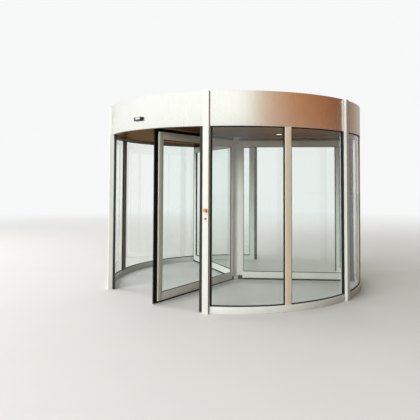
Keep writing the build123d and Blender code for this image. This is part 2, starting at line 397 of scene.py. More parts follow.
def coat(name, color, roughness, foot_dust=0.2):
    """Powder coat: a fine peel, a slight unevenness, and floor dust low down."""
    finish = begin(name)
    tone = finish.grain(2.5, 3)
    low = finish.rise(finish.height(), 0, 0.35, foot_dust, 0)
    dusty = low * finish.rise(finish.grain(9, 5), 0.2, 0.9)
    clean = finish.tones(tone, color, 0.95, 1.02)
    sockets = {
        "Base Color": finish.blend(dusty, clean, (0.5, 0.47, 0.41)),
        "Roughness": roughness + 0.1 * tone + 0.3 * dusty,
        "Normal": finish.relief(finish.grain(900, 1), 0.25, 0.0001),
    }
    return finish.close(finish.skin(sockets))


def rubber(name, color, roughness=0.6):
    """Black rubber or felt with a faint grey bloom."""
    finish = begin(name)
    bloom = finish.grain(25, 4)
    sockets = {
        "Base Color": finish.tones(bloom, color, 1, 1.8),
        "Roughness": roughness + 0.15 * bloom,
        "Specular IOR Level": 0.3,
        "Normal": finish.relief(finish.grain(700, 1), 0.3, 0.0002),
    }
    return finish.close(finish.skin(sockets))


cap_white = coat("cap_white", (0.835, 0.85, 0.815), 0.38)
# Black strips in the post reveals and the joints beside the fascia: painted shade for the shade
# that falls in the open reveal and joint.
reveal_painted_shade = rubber("reveal_painted_shade", (0.03, 0.028, 0.02))

post_angles = {
    "front_right": 30,
    "right_facade": 90,
    "rear_right": 150,
    "rear_left": -150,
    "left_facade": -90,
    "front_left": -30,
}
entrance_way = {"front_right": -1, "rear_right": 1, "rear_left": -1, "front_left": 1}
entrance_middles = (0, 180)
inner_radius = 1.842
frame_radius = 1.896
drum_radius = 1.9
cap_radius = 1.935
reveal_radius = 1.88
clear_height = 2.2
base_height = 0.082
total_height = 2.62
hair = 0.0002
cap_half = 0.037
cap_rounding = 0.005
snap_radius = frame_radius + 0.003
snap_width = 0.0018
snap_slope = 0.0004
snap_depth = 0.0008
rib_side = 0.024
rib_half = 0.0011
rib_floor_half = 0.6 * rib_half
rib_depth = 0.0009
plug_thickness = 0.002
plug_inset = 0.0006
plug_side = -cap_half + plug_inset
reveal_edge = 0.042
bead_edge = 0.053
bead_lip = 0.0015
lip_thickness = 0.0025
bead_rounding = 0.002
shade_strip_thickness = 0.0016

open_half = [(cap_half, inner_radius), (cap_half, frame_radius)]
glazed_half = [
    (reveal_edge, inner_radius),
    (reveal_edge, reveal_radius),
    (cap_half, reveal_radius),
    (cap_half, frame_radius),
]
cap_outline = rounded(
    mirrored(
        [
            (-cap_half, frame_radius),
            (-cap_half, snap_radius),
            (-cap_half + snap_depth, snap_radius + snap_slope),
            (-cap_half + snap_depth, snap_radius + snap_width - snap_slope),
            (-cap_half, snap_radius + snap_width),
            (-cap_half, cap_radius, cap_rounding),
            (-rib_side - rib_half, cap_radius),
            (-rib_side - rib_floor_half, cap_radius - rib_depth),
            (-rib_side + rib_floor_half, cap_radius - rib_depth),
            (-rib_side + rib_half, cap_radius),
        ]
    ),
    steps=6,
)
plug_outline = rounded(
    mirrored([(plug_side, frame_radius, 0.001), (plug_side, cap_radius - plug_inset, 0.0045)])
)
bead_outline = rounded(
    [
        (reveal_edge, inner_radius, bead_rounding),
        (reveal_edge, frame_radius - lip_thickness - 0.001),
        (reveal_edge - bead_lip, frame_radius - lip_thickness),
        (reveal_edge - bead_lip, frame_radius, 0.001),
        (bead_edge, frame_radius, bead_rounding),
        (bead_edge, inner_radius, bead_rounding),
    ]
)
reveal_floor = (reveal_radius, reveal_radius + shade_strip_thickness)
fascia_joint = (frame_radius - 0.001, frame_radius + 0.0008)
joint_top = total_height - 0.006

plugs = bmesh.new()
for side, angle in post_angles.items():
    glass_ways = [way for way in (-1, 1) if way != entrance_way.get(side, 0)]

    core = bmesh.new()
    core_outline = []
    for way in (1, -1):
        half = glazed_half if way in glass_ways else open_half
        core_outline += facing(way, half[::way])
    column(core, angle, core_outline, 0, clear_height)
    piece(
        f"{side}_post_core", core, cap_white, "drum", [f"{side}_post"], bevel=0.0012
    )

    cap = bmesh.new()
    column(cap, angle, cap_outline, 0, total_height - plug_thickness)
    piece(f"{side}_cap", cap, cap_white, "drum")
    column(plugs, angle, plug_outline, total_height - plug_thickness, total_height - hair)

    beads = bmesh.new()
    shade_strips = bmesh.new()
    for way in glass_ways:
        column(beads, angle, facing(way, bead_outline), base_height, clear_height)
        # Black strips on the reveal's floor and in the fascia joint: painted shade.
        for depths, bottom, top in (
            (reveal_floor, 0, clear_height),
            (fascia_joint, clear_height, joint_top),
        ):
            strip = rectangle((cap_half + hair, reveal_edge - hair), depths)
            column(shade_strips, angle, facing(way, strip), bottom, top)
    piece(f"{side}_glazing_beads", beads, cap_white, "drum")
    piece(f"{side}_reveal_shade_strips", shade_strips, reveal_painted_shade, "drum")
piece("cap_plugs", plugs, cap_white, "drum", bevel=0.0005)


# Base rails: curved aluminium rails on the floor under the glass, coated light grey, with a
# small recess at the floor and a groove on top that holds the panes.
def hoop(drawing, start, end, profile, step=0.5):
    """Curved bar from a profile of (radius, height), between two angles or full round."""
    count = max(1, round((end - start) / step))
    full = end - start >= 360
    stops = [start + (end - start) * k / count for k in range(count + (not full))]
    loft(drawing, [[at(a, 0, radius, z) for radius, z in profile] for a in stops], full)


def cut(half_width, radius):
    """Angle that a half width and the gap beside it take up at a radius."""
    return math.degrees(math.asin((half_width + side_gap) / radius))


rail_grey = coat("rail_grey", (0.85, 0.885, 0.855), 0.4)
side_gap = 0.0003
groove_inner = 1.8635
groove_outer = 1.8765
glass_bottom = 0.068
plinth_height = 0.005
plinth_depth = 0.003
rail_rounding = 0.004
fine_rounding = 0.0008
wall_starts = {"front_right": 30, "rear_right": 90, "rear_left": -150, "front_left": -90}
wall_span = 60

rail_profile = rounded(
    [
        (inner_radius + plinth_depth, 0),
        (drum_radius - plinth_depth, 0),
        (drum_radius - plinth_depth, plinth_height),
        (drum_radius, plinth_height, fine_rounding),
        (drum_radius, base_height, rail_rounding),
        (groove_outer, base_height, fine_rounding),
        (groove_outer, glass_bottom),
        (groove_inner, glass_bottom),
        (groove_inner, base_height, fine_rounding),
        (inner_radius, base_height, rail_rounding),
        (inner_radius, plinth_height, fine_rounding),
        (inner_radius + plinth_depth, plinth_height),
    ]
)
rail_cut = cut(reveal_edge, inner_radius)
for side, start in wall_starts.items():
    rail = bmesh.new()
    hoop(rail, start + rail_cut, start + wall_span - rail_cut, rail_profile)
    piece(f"{side}_rail", rail, rail_grey, "drum", [f"{side}_base_rail"])


# Mullions: one upright tube in the middle of each wall, on the base rail, coloured near black as
# painted shade for its shaded inner side. The cover outside is a separate profile, coated warm
# grey, with a fine joint along each side.
mullion_grey = coat("mullion_grey", (0.79, 0.69, 0.54), 0.42)
# The tube's near-black coat is painted shade: it stands for the shade on the mullion's inner side.
mullion_painted_shade = coat("mullion_painted_shade", (0.1, 0.085, 0.065), 0.42)
mullion_half = 0.041
mullion_radius = 1.898
cover_line = 1.886
joint_back = cover_line - 0.0007
joint_front = cover_line + 0.0004
joint_depth = 0.001

tube_outline = rounded(
    mirrored([(-mullion_half + hair, inner_radius, 0.003), (-mullion_half + hair, joint_back)])
)
cover_outline = rounded(
    mirrored(
        [
            (-mullion_half + joint_depth, joint_back),
            (-mullion_half, joint_front, 0.0004),
            (-mullion_half, mullion_radius, 0.004),
        ]
    )
)
for side, start in wall_starts.items():
    tube = bmesh.new()
    cover = bmesh.new()
    column(tube, start + wall_span / 2, tube_outline, base_height, clear_height)
    column(cover, start + wall_span / 2, cover_outline, base_height, clear_height)
    piece(f"{side}_mullion_tube", tube, mullion_painted_shade, "drum")
    piece(
        f"{side}_mullion_cover", cover, mullion_grey, "drum", [f"{side}_mullion"]
    )


# Wall glass: two curved panes in each wall, laminated, faintly green. Black gaskets hold them
# against the rail, the ring and the mullion, inside and out, and a black wedge laps the beads.
def glazing(name, color):
    """Clear glass with a faint film of dust in patches, mostly low down."""
    finish = begin(name)
    film = finish.rise(finish.height(), 0.05, 0.7, 0.02, 0.002)
    film = film * finish.rise(finish.grain(5, 3), 0.3, 0.8)
    clear = finish.skin(
        {"Base Color": (*color, 1), "Roughness": 0, "IOR": 1.5, "Transmission Weight": 1}
    )
    dust = finish.node("ShaderNodeBsdfDiffuse", None, {"Color": (0.7, 0.68, 0.62, 1)})
    passed = finish.node("ShaderNodeBsdfTransparent", None, {"Color": (*color, 1)})
    seen = finish.layers(film, clear, dust)
    return finish.close(finish.layers(finish.rays("Shadow", "Diffuse"), seen, passed))


wall_clear = glazing("wall_clear", (0.93, 0.962, 0.945))
gasket_black = rubber("gasket_black", (0.011, 0.0105, 0.009), 0.55)
glass_inner = 1.864
glass_outer = 1.876
glass_top = 2.21
gasket_width = 0.013
gasket_depth = 0.005
gasket_bite = 0.002
gasket_rounding = 0.001
gasket_short = 0.001
wedge_lap = 0.0065
wedge_top = 0.0018

pane_profile = rectangle((glass_inner, glass_outer), (glass_bottom, glass_top))
gasket_faces = (
    (glass_outer - gasket_bite, glass_outer + gasket_depth),
    (glass_inner - gasket_depth, glass_inner + gasket_bite),
)
gasket_heights = (
    (base_height, base_height + gasket_width),
    (clear_height - gasket_width, clear_height),
)
post_cut = cut(bead_edge, glass_inner)
mullion_cut = cut(mullion_half, glass_inner)
for side, start in wall_starts.items():
    middle = start + wall_span / 2
    end = start + wall_span
    panes = bmesh.new()
    gaskets = bmesh.new()
    for pane_start, pane_end in (
        (start + post_cut, middle - mullion_cut),
        (middle + mullion_cut, end - post_cut),
    ):
        hoop(panes, pane_start, pane_end, pane_profile)
        for depths in gasket_faces:
            for heights in gasket_heights:
                strip = rounded(rectangle(depths, heights, gasket_rounding), steps=2)
                hoop(gaskets, pane_start, pane_end, strip, step=1)
    for line, edge, way in (
        (start, bead_edge, 1),
        (middle, mullion_half, -1),
        (middle, mullion_half, 1),
        (end, bead_edge, -1),
    ):
        last = edge + gasket_width - gasket_short
        bottom, top = base_height + gasket_short, clear_height - gasket_short
        for near, far in gasket_faces:
            strip = [(edge, near), (last, near), (last, far, gasket_rounding)]
            if edge == bead_edge and far > glass_outer:
                strip += [
                    (edge, frame_radius + wedge_top, gasket_rounding),
                    (edge - wedge_lap, frame_radius + wedge_top),
                    (edge - wedge_lap, frame_radius + hair),
                    (edge, frame_radius + hair),
                ]
            else:
                strip.append((edge, far, gasket_rounding))
            column(gaskets, line, rounded(facing(way, strip), steps=2), bottom, top)
    piece(f"{side}_panes", panes, wall_clear, "drum", [f"{side}_glass"])
    piece(f"{side}_gaskets", gaskets, gasket_black, "drum")


# Canopy ring: the rolled head profile over the posts, coated grey, with the glazing groove all
# round. A filler strip closes the groove over the entrances.
canopy_grey = coat("canopy_grey", (0.42, 0.42, 0.4), 0.45, foot_dust=0)
ring_top = 2.26
groove_top = 2.214
filler_bottom = clear_height + 0.0006
filler_top = groove_top - 0.004
filler_half_span = 27.5

ring_profile = rounded(
    [
        (inner_radius, clear_height, 0.002),
        (groove_inner, clear_height),
        (groove_inner, groove_top),
        (groove_outer, groove_top),
        (groove_outer, clear_height),
        (frame_radius, clear_height, 0.001),
        (frame_radius, ring_top, 0.002),
        (inner_radius, ring_top, 0.002),
    ],
    steps=3,
)
ring = bmesh.new()
hoop(ring, 0, 360, ring_profile)
piece("canopy_head_ring", ring, canopy_grey, "drum", ["canopy_ring"])

filler_profile = rounded(
    [
        (groove_inner + hair, filler_bottom, fine_rounding),
        (groove_outer - hair, filler_bottom, fine_rounding),
        (groove_outer - hair, filler_top),
        (groove_inner + hair, filler_top),
    ],
    steps=2,
)
fillers = bmesh.new()
for middle in entrance_middles:
    hoop(fillers, middle - filler_half_span, middle + filler_half_span, filler_profile)
piece("groove_fillers", fillers, canopy_grey, "drum")


# Fascia: six sheets of stainless steel, rolled round the canopy and brushed upright, each with
# its top edge folded in over the roof's rim.
def brushed(name, color, roughness, grain_scale, depth, spread=0.14):
    """Brushed metal: fine streaks along the brushing, and broad soft tone changes."""
    finish = begin(name)
    streak = finish.grain(1, 3, finish.stretch(finish.place(), grain_scale))
    broad = finish.grain(1.4)
    tone = finish.rise(streak, 0.25, 0.75)
    sockets = {
        "Base Color": finish.tones(tone, color, 0.985, 1),
        "Metallic": 1,
        "Roughness": roughness + spread * (tone - 0.5) + 0.08 * (broad - 0.5),
        "Normal": finish.relief(streak, 0.35, depth),
    }
    return finish.close(finish.skin(sockets))


fascia_steel = brushed("fascia_steel", (0.82, 0.81, 0.77), 0.28, (520, 520, 5), 0.00001, 0.03)
fold_edge = drum_radius - 0.024
sheet_gauge = 0.0015
sheet_inner = frame_radius + side_gap
fascia_profile = rounded(
    [
        (sheet_inner, clear_height),
        (drum_radius, clear_height, 0.0012),
        (drum_radius, total_height, 0.0025),
        (fold_edge, total_height),
        (fold_edge, total_height - sheet_gauge),
        (sheet_inner, total_height - sheet_gauge),
    ],
    steps=5,
)
fascia_starts = {"front": -30, "rear": 150, **wall_starts}
for side, start in fascia_starts.items():
    sheet_cut = cut(reveal_edge if side in wall_starts else cap_half, frame_radius)
    sheet = bmesh.new()
    hoop(sheet, start + sheet_cut, start + wall_span - sheet_cut, fascia_profile, step=0.4)
    piece(f"{side}_sheet", sheet, fascia_steel, "drum", [f"{side}_fascia"])


# Ceiling: four quarter panels of dark bronze lacquered sheet with open joints, a black backing
# above the joints, and a round hole for a light in each panel.
def lacquer(name, color, roughness):
    """Bronze lacquer over metal flake, that keeps its tone when seen from a low angle."""
    finish = begin(name)
    sockets = {
        "Base Color": finish.tones(finish.grain(300), color, 0.85, 1.15),
        "Metallic": 1,
        "Roughness": roughness + 0.08 * finish.grain(1.6),
        "Specular Tint": (0.42, 0.29, 0.17, 1),
    }
    return finish.close(finish.skin(sockets))


def plate(drawing, outlines, bottom, thickness):
    """Flat plate from an outer outline of (x, y) and its holes, cut and filled as one sheet."""
    curve = bpy.data.curves.new("plate", "CURVE")
    curve.dimensions = "2D"
    curve.fill_mode = "BOTH"
    curve.extrude = thickness / 2
    for outline in outlines:
        spline = curve.splines.new("POLY")
        spline.points.add(len(outline) - 1)
        for point, (x, y) in zip(spline.points, outline):
            point.co = (x, y, 0, 1)
        spline.use_cyclic_u = True
    draft = bpy.data.objects.new("plate", curve)
    mesh = bpy.data.meshes.new_from_object(draft)
    mesh.transform(Matrix.Translation((0, 0, bottom + thickness / 2)))
    drawing.from_mesh(mesh)
    bpy.data.objects.remove(draft)
    bpy.data.meshes.remove(mesh)
    bpy.data.curves.remove(curve)
    bmesh.ops.remove_doubles(drawing, verts=drawing.verts, dist=0.00001)


def flat(angle, radius):
    """Point (x, y) at an angle and radius."""
    return at(angle, 0, radius, 0)[:2]


def arc(radius, start, end, steps):
    """Points (x, y) along an arc about the drum's axis."""
    return [flat(start + (end - start) * k / steps, radius) for k in range(steps + 1)]


def circle(radius, steps, x=0, y=0):
    """Points (x, y) round a circle."""
    turns = [2 * math.pi * k / steps for k in range(steps)]
    return [(x + radius * math.cos(turn), y + radius * math.sin(turn)) for turn in turns]


ceiling_bronze = lacquer("ceiling_bronze", (0.21, 0.137, 0.08), 0.34)
ceiling_bottom = 2.225
ceiling_thickness = 0.006
ceiling_radius = inner_radius - 0.0005
backing_bottom = ceiling_bottom + 0.0065
backing_top = backing_bottom + 0.005
bearing_hole = 0.0955
light_circle = 0.84
light_hole = 0.0525
seam_half = 0.0015
outer_seam = math.degrees(seam_half / ceiling_radius)
inner_seam = math.degrees(seam_half / bearing_hole)
panel_middles = (90, 180, 270, 360)
panel_half_span = 45

ceiling = bmesh.new()
for middle in panel_middles:
    start, end = middle - panel_half_span, middle + panel_half_span
    outline = arc(ceiling_radius, start + outer_seam, end - outer_seam, 180)
    outline += arc(bearing_hole, end - inner_seam, start + inner_seam, 18)
    hole = circle(light_hole, 64, *flat(middle, light_circle))
    plate(ceiling, [outline, hole], ceiling_bottom, ceiling_thickness)
piece("ceiling_panels", ceiling, ceiling_bronze, "drum", ["ceiling"])

backing = bmesh.new()
backing_profile = rectangle((bearing_hole, ceiling_radius), (backing_bottom, backing_top))
hoop(backing, 0, 360, backing_profile)
piece("ceiling_backing", backing, gasket_black, "drum")


# Downlights: four round lights in the ceiling, each a bronze rim and reflector round an opal
# lens that glows faintly warm.
def turned(drawing, profile, place, steps=48, hollow=False):
    """Turned piece from a profile of (radius, along), about the local Z axis of a place."""
    rings = [[place @ Vector((x, y, z)) for x, y in circle(radius, steps)] for radius, z in profile]
    loft(drawing, zip(*rings) if hollow else rings, hollow)


bezel_bronze = lacquer("bezel_bronze", (0.12, 0.085, 0.055), 0.3)
opal = begin("lens_opal")
opal_skin = opal.skin(
    {
        "Base Color": opal.blend(opal.grain(60), (0.9, 0.84, 0.7), (0.96, 0.92, 0.82)),
        "Roughness": 0.4,
        "Emission Color": (1, 0.82, 0.6, 1),
        "Emission Strength": 1.6,
    }
)
lens_opal = opal.close(opal_skin)

bezel_profile = [
    (0.068, -0.0001), (0.0676, -0.0018), (0.0655, -0.0028), (0.056, -0.003), (0.0515, -0.0022),
    (0.0485, 0.001), (0.0455, 0.009), (0.0455, 0.027), (0.0515, 0.027), (0.0515, -0.0001),
]
lens_profile = [
    (0.012, -0.0029), (0.03, -0.0027), (0.042, -0.0015), (0.0452, 0.001), (0.0452, 0.006),
    (0.012, 0.006),
]
bezels = bmesh.new()
lenses = bmesh.new()
for middle in panel_middles:
    spot = Matrix.Translation(at(middle, 0, light_circle, ceiling_bottom))
    turned(bezels, bezel_profile, spot, hollow=True)
    turned(lenses, lens_profile, spot)
piece("downlight_rims", bezels, bezel_bronze, "drum", ["downlights"])
piece("downlight_lenses", lenses, lens_opal, "drum")


# Roof: six sheet sectors inside the fascia's rim, with a cover strip screwed down over each
# joint and a round cap over the drive.
roof_grey = coat("roof_grey", (0.5, 0.5, 0.48), 0.5, foot_dust=0)
screw_steel = brushed("screw_steel", (0.6, 0.6, 0.58), 0.3, (80, 80, 80), 0.00005)
roof_top = 2.61
roof_gauge = 0.004
rim_bottom = 2.56
rim_inner = frame_radius - 0.03
sector_inner = 0.25
sector_gap = 0.08
strip_half = 0.03
strip_inner = 0.28
strip_outer = frame_radius - 0.034
strip_top = roof_top + 0.003
hatch_radius = 0.34
strip_screw_start = 0.42
strip_screw_pitch = 0.195
strip_screw_side = 0.02
strip_screw_count = 8
hatch_screw_radius = 0.322
hatch_top = 0.005
plug_screw_side = 0.022
plug_screw_radius = 1.9155
plug_screw_drop = 0.0034
sector_span = 60
sheet_joints = range(0, 360, sector_span)

roof = bmesh.new()
rim = rectangle((rim_inner, frame_radius - hair), (rim_bottom, roof_top - hair))
hoop(roof, 0, 360, rim)
sector = rectangle((sector_inner, rim_inner - 0.0005), (roof_top - roof_gauge, roof_top))
strip = rectangle((-strip_half, strip_half), (strip_inner, strip_outer))
for start in sheet_joints:
    hoop(roof, start + sector_gap, start + sector_span - sector_gap, sector)
    column(roof, start, strip, roof_top, strip_top)
hatch_profile = [
    (hatch_radius, 0), (hatch_radius, 0.004), (hatch_radius - 0.004, hatch_top), (0.02, 0.0056),
]
turned(roof, hatch_profile, Matrix.Translation((0, 0, roof_top)), steps=96)
piece("roof_sheets", roof, roof_grey, "drum", ["roof_cover"], bevel=0.0006)

heads = [
    at(angle, side, strip_screw_start + strip_screw_pitch * step, strip_top)
    for angle in sheet_joints
    for side in (-strip_screw_side, strip_screw_side)
    for step in range(strip_screw_count)
]
heads += [at(angle, 0, hatch_screw_radius, roof_top + hatch_top) for angle in range(15, 375, 30)]
heads += [
    at(angle, side, plug_screw_radius, total_height - plug_screw_drop)
    for angle in post_angles.values()
    for side in (-plug_screw_side, plug_screw_side)
]
screw_profile = [(0.0055, 0), (0.0055, 0.0012), (0.0045, 0.0026), (0.0018, 0.003), (0.0014, 0.0014)]
screws = bmesh.new()
for head in heads:
    turned(screws, screw_profile, Matrix.Translation(head), steps=12)
piece("roof_screws", screws, screw_steel, "drum")


# Drive: the welded beam over the ceiling with the top bearing, and the gearbox and motor on it.
# A turned cover hides the bearing's hole under the ceiling.
def refinish(node, finish):
    """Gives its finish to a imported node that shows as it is."""
    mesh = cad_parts[node].data
    mesh.materials.clear()
    mesh.materials.append(finish)


drive_grey = coat("drive_grey", (0.2, 0.22, 0.25), 0.5, foot_dust=0)
refinish("drive_beam", canopy_grey)
refinish("drive_unit", drive_grey)

cover_profile = [
    (0.0275, 0.0002), (0.0275, -0.0048), (0.029, -0.0058), (0.106, -0.0046), (0.109, -0.003),
    (0.109, -0.0001), (0.09, -0.0001), (0.09, 0.0002),
]
bearing_cover = bmesh.new()
turned(
    bearing_cover, cover_profile, Matrix.Translation((0, 0, ceiling_bottom)), steps=96, hollow=True
)
piece("top_bearing_cover", bearing_cover, canopy_grey, "drum")


# Column: a six-sided coated tube that the wings are bolted to, with a coated collar at its foot,
# a steel spindle up into the bearing, and a pin in a steel cup on the floor.
wing_silver = coat("wing_silver", (0.87, 0.875, 0.83), 0.36)
turned_steel = brushed("turned_steel", (0.74, 0.74, 0.72), 0.24, (60, 60, 900), 0.00004)
wing_rest = 6.5
column_apothem = 0.032
column_rounding = 0.004
stile_foot = 0.075
wing_top = 2.172
spindle_radius = 0.025
spindle_top = 2.3649

column_corner = column_apothem / math.cos(math.radians(30))
hexagon = rounded(
    [(*flat(wing_rest + 30 + 60 * k, column_corner), column_rounding) for k in range(6)]
)
tube = bmesh.new()
loft(tube, [[(x, y, z) for x, y in hexagon] for z in (stile_foot, wing_top)])
piece(
    "column_tube", tube, wing_silver, "wings", ["centre_column"],
    bevel=0.001, sharp=50,
)

spindle_profile = [
    (spindle_radius - 0.0005, wing_top),
    (spindle_radius, wing_top + 0.0005),
    (spindle_radius, spindle_top - 0.0009),
    (spindle_radius - 0.0015, spindle_top),
]
pin_profile = [(0.011, 0.0042), (0.012, 0.0052), (0.012, 0.0225)]
spindle = bmesh.new()
turned(spindle, spindle_profile, Matrix())
turned(spindle, pin_profile, Matrix())
piece("spindle_and_pin", spindle, turned_steel, "wings")

collar_profile = [
    (0.0255, 0.0225), (0.027, 0.024), (0.027, 0.0655), (0.0262, 0.0665), (0.0262, 0.0685),
    (0.027, 0.0695), (0.027, 0.0745), (0.026, stile_foot),
]
collar = bmesh.new()
turned(collar, collar_profile, Matrix())
piece("foot_collar", collar, wing_silver, "wings")

cup_profile = [
    (0.0122, 0.016), (0.0122, 0.004), (0.001, 0.004), (0.001, 0), (0.022, 0), (0.022, 0.0145),
    (0.0205, 0.016),
]
cup = bmesh.new()
turned(cup, cup_profile, Matrix(), hollow=True)
piece("floor_cup", cup, turned_steel, "drum", ["floor_bearing"])


# Wings: three framed leaves. Each frame has two stiles and two rails of coated aluminium with a
# snapped-in glazing bead, and a black gasket along the glass.
wing_clear = glazing("wing_clear", (0.94, 0.968, 0.953))
wing_half = 0.0225
wing_bottom = 0.038
wing_radius = 1.765
window_inner = 0.127
window_outer = 1.68
window_bottom = 0.133
window_top = 2.077
bead_face = 0.0205
bead_back = 0.008
frame_bead = 0.012
wing_gasket = 0.006
wing_gasket_face = 0.0125
pane_half = 0.004
rail_gap = 0.00015
inner_edge = window_inner - frame_bead
outer_edge = window_outer + frame_bead
bottom_edge = window_bottom - frame_bead
top_edge = window_top + frame_bead
rail_span = (inner_edge + rail_gap, outer_edge - rail_gap)
leaf_bars = (
    ((column_apothem, inner_edge), (stile_foot, wing_top)),
    ((outer_edge, wing_radius), (wing_bottom, wing_top)),
    (rail_span, (wing_bottom, bottom_edge)),
    (rail_span, (top_edge, wing_top)),
)

# A wing's own axes: X out along it, Y through its thickness, Z up.
wing_places = {
    name: Matrix.Rotation(math.radians(wing_rest + 120 * index - 90), 4, "Z")
    for index, name in enumerate(("first_wing", "second_wing", "third_wing"))
}


def block(drawing, place, across, through, upright):
    """Straight bar between limits along each axis of a place."""
    base = rectangle(across, through)
    loft(drawing, [[place @ Vector((x, y, z)) for x, y in base] for z in upright])


def window_bars(drawing, place, inset, width, through):
    """Four bars round a wing's window: two upright, and two between them."""
    left, right = inner_edge + inset, outer_edge - inset
    low, high = bottom_edge + inset, top_edge - inset
    for across in ((left, left + width), (right - width, right)):
        block(drawing, place, across, through, (low, high))
    for upright in ((low, low + width), (high - width, high)):
        block(drawing, place, (left + width, right - width), through, upright)


for name, place in wing_places.items():
    leaf = bmesh.new()
    for across, upright in leaf_bars:
        block(leaf, place, across, (-wing_half, wing_half), upright)
    title = f"{name}_stiles_and_rails"
    piece(title, leaf, wing_silver, "wings", [f"{name}_frame"], bevel=0.0022)

    beads = bmesh.new()
    gaskets = bmesh.new()
    for way in (-1, 1):
        window_bars(beads, place, 0, frame_bead, (way * bead_back, way * bead_face))
        faces = (way * pane_half, way * wing_gasket_face)
        window_bars(gaskets, place, frame_bead, wing_gasket, faces)
    piece(f"{name}_glazing_beads", beads, wing_silver, "wings", bevel=0.0012)
    piece(f"{name}_gaskets", gaskets, gasket_black, "wings", bevel=0.001)
    refinish(f"{name}_glass", wing_clear)


# Brush seals: black bristles crimped in a slim holder along each wing's outer, top and bottom
# edge, with a felt fin between the bristle rows. A deeper block sits under the inner stile.
def pile(name, color):
    """Nylon bristles: black, a little shiny along their length."""
    finish = begin(name)
    streak = finish.grain(180)
    sockets = {
        "Base Color": finish.tones(streak, color, 1, 2),
        "Roughness": 0.5 + 0.25 * streak,
        "Specular IOR Level": 0.2,
    }
    return finish.close(finish.skin(sockets))


bristle_black = pile("bristle_black", (0.009, 0.0075, 0.006))
seal_radius = 1.835
seal_bottom = 0.008
seal_top = 2.217
seal_start = 0.046
seal_rounding = 0.014
holder_half = 0.0085
holder_depth = 0.008
holder_short = 0.003
fin_half = 0.0035
fin_short = 0.004
bristle_pitch = 0.002
bristle_margin = 0.001
outer_root = wing_radius + 0.004
top_root = wing_top + 0.004
bottom_root = wing_bottom - 0.003
foot_root = stile_foot - 0.006
foot_end = window_inner - 0.003
bristle_radius = 0.00062
tip_radius = 0.6 * bristle_radius
bristle_rows = (-0.0085, -0.0055, 0.0055, 0.0085)
bristle_lean = 0.0012
bristle_trim = 0.0015
bristle_draw = random.Random(7)

holder_bars = (
    (
        (wing_radius, wing_radius + holder_depth),
        (seal_bottom + holder_short, seal_top - holder_short),
    ),
    ((seal_start + 0.01, wing_radius), (wing_top, wing_top + holder_depth)),
    ((window_inner, wing_radius), (wing_bottom - 0.7 * holder_depth, wing_bottom)),
    ((seal_start, window_inner - 0.001), (stile_foot - 1.5 * holder_depth, stile_foot)),
)
fin_bars = (
    (
        (wing_radius + 0.001, seal_radius - fin_short),
        (seal_bottom + seal_rounding, seal_top - seal_rounding),
    ),
    ((seal_start + 0.002, wing_radius + 0.002), (wing_top + 0.001, seal_top - fin_short)),
    ((window_inner + 0.001, wing_radius + 0.002), (seal_bottom + fin_short, wing_bottom - 0.001)),
    ((seal_start + 0.002, foot_end), (seal_bottom + fin_short, stile_foot - 0.003)),
)


def bristle(drawing, root, tip, across):
    """One bristle: a three-sided tapered hair from root to tip."""
    side = (tip - root).normalized().cross(across).normalized()
    spokes = [x * side + y * across for x, y in circle(1, 3)]
    ends = ((root, bristle_radius), (tip, tip_radius))
    loft(drawing, [[end + radius * spoke for spoke in spokes] for end, radius in ends])


def corner_limit(z):
    """How much shorter a bristle is where the brush's outer corners are rounded."""
    past = max(0, seal_bottom + seal_rounding - z, z - (seal_top - seal_rounding))
    return seal_rounding - math.sqrt(max(0, seal_rounding**2 - past**2))


for name, place in wing_places.items():
    across = place.to_3x3() @ Vector((0, 1, 0))
    for title, bars, half, slot, softened in (
        ("brush_holders", holder_bars, holder_half, "black_rubber", 0.001),
        ("felt_fins", fin_bars, fin_half, "black_brush", 0.0008),
    ):
        drawing = bmesh.new()
        for along, upright in bars:
            block(drawing, place, along, (-half, half), upright)
        piece(f"{name}_{title}", drawing, gasket_black, "wings", bevel=softened)

    bristles = bmesh.new()
    for index, row in enumerate(bristle_rows):
        stagger = bristle_margin + bristle_pitch * index / len(bristle_rows)
        runs = []
        for step in range(int((seal_top - seal_bottom - 2 * bristle_margin) / bristle_pitch)):
            z = seal_bottom + stagger + bristle_pitch * step
            runs.append(((outer_root, z), (seal_radius - corner_limit(z), z)))
        for step in range(int((wing_radius - seal_start) / bristle_pitch)):
            x = seal_start + stagger + bristle_pitch * step
            runs.append(((x, top_root), (x, seal_top)))
            if x > window_inner:
                runs.append(((x, bottom_root), (x, seal_bottom)))
            elif x < foot_end:
                runs.append(((x, foot_root), (x, seal_bottom)))
        for (root_x, root_z), (tip_x, tip_z) in runs:
            lean = bristle_draw.uniform(-bristle_lean, bristle_lean)
            short = bristle_draw.uniform(0, bristle_trim)
            root = Vector((root_x, row, root_z))
            tip = Vector((tip_x, row + lean * 0.5, tip_z))
            tip -= (tip - root).normalized() * short
            bristle(bristles, place @ root, place @ tip, across)
    title = f"{name}_bristles"
    piece(title, bristles, bristle_black, "wings", [f"{name}_seals"], sharp=80)


# Safety edges: a soft black rubber bulb on a neck, full height, on the entrance side of each
# entrance post. Two fine grooves run along the bulb, inside and out.
edge_rubber = rubber("edge_rubber", (0.024, 0.024, 0.02), 0.55)
edge_bottom = 0.008
neck_end = 0.05
neck_back = 1.85
neck_front = 1.867
bulb_back = 1.842
bulb_front = 1.875
bulb_sides = (0.047, 0.089)
groove_side = 0.0648
groove_half = 0.0008
neck_outline = rectangle((cap_half, neck_end), (neck_back, neck_front))
bulb_outline = rounded(
    [
        (bulb_sides[0], bulb_back, 0.013),
        (bulb_sides[0], bulb_front, 0.013),
        (groove_side - groove_half, bulb_front),
        (groove_side, bulb_front - groove_half),
        (groove_side + groove_half, bulb_front),
        (bulb_sides[1], bulb_front, 0.0145),
        (bulb_sides[1], bulb_back, 0.0145),
        (groove_side + groove_half, bulb_back),
        (groove_side, bulb_back + groove_half),
        (groove_side - groove_half, bulb_back),
    ],
    steps=8,
)
edges = bmesh.new()
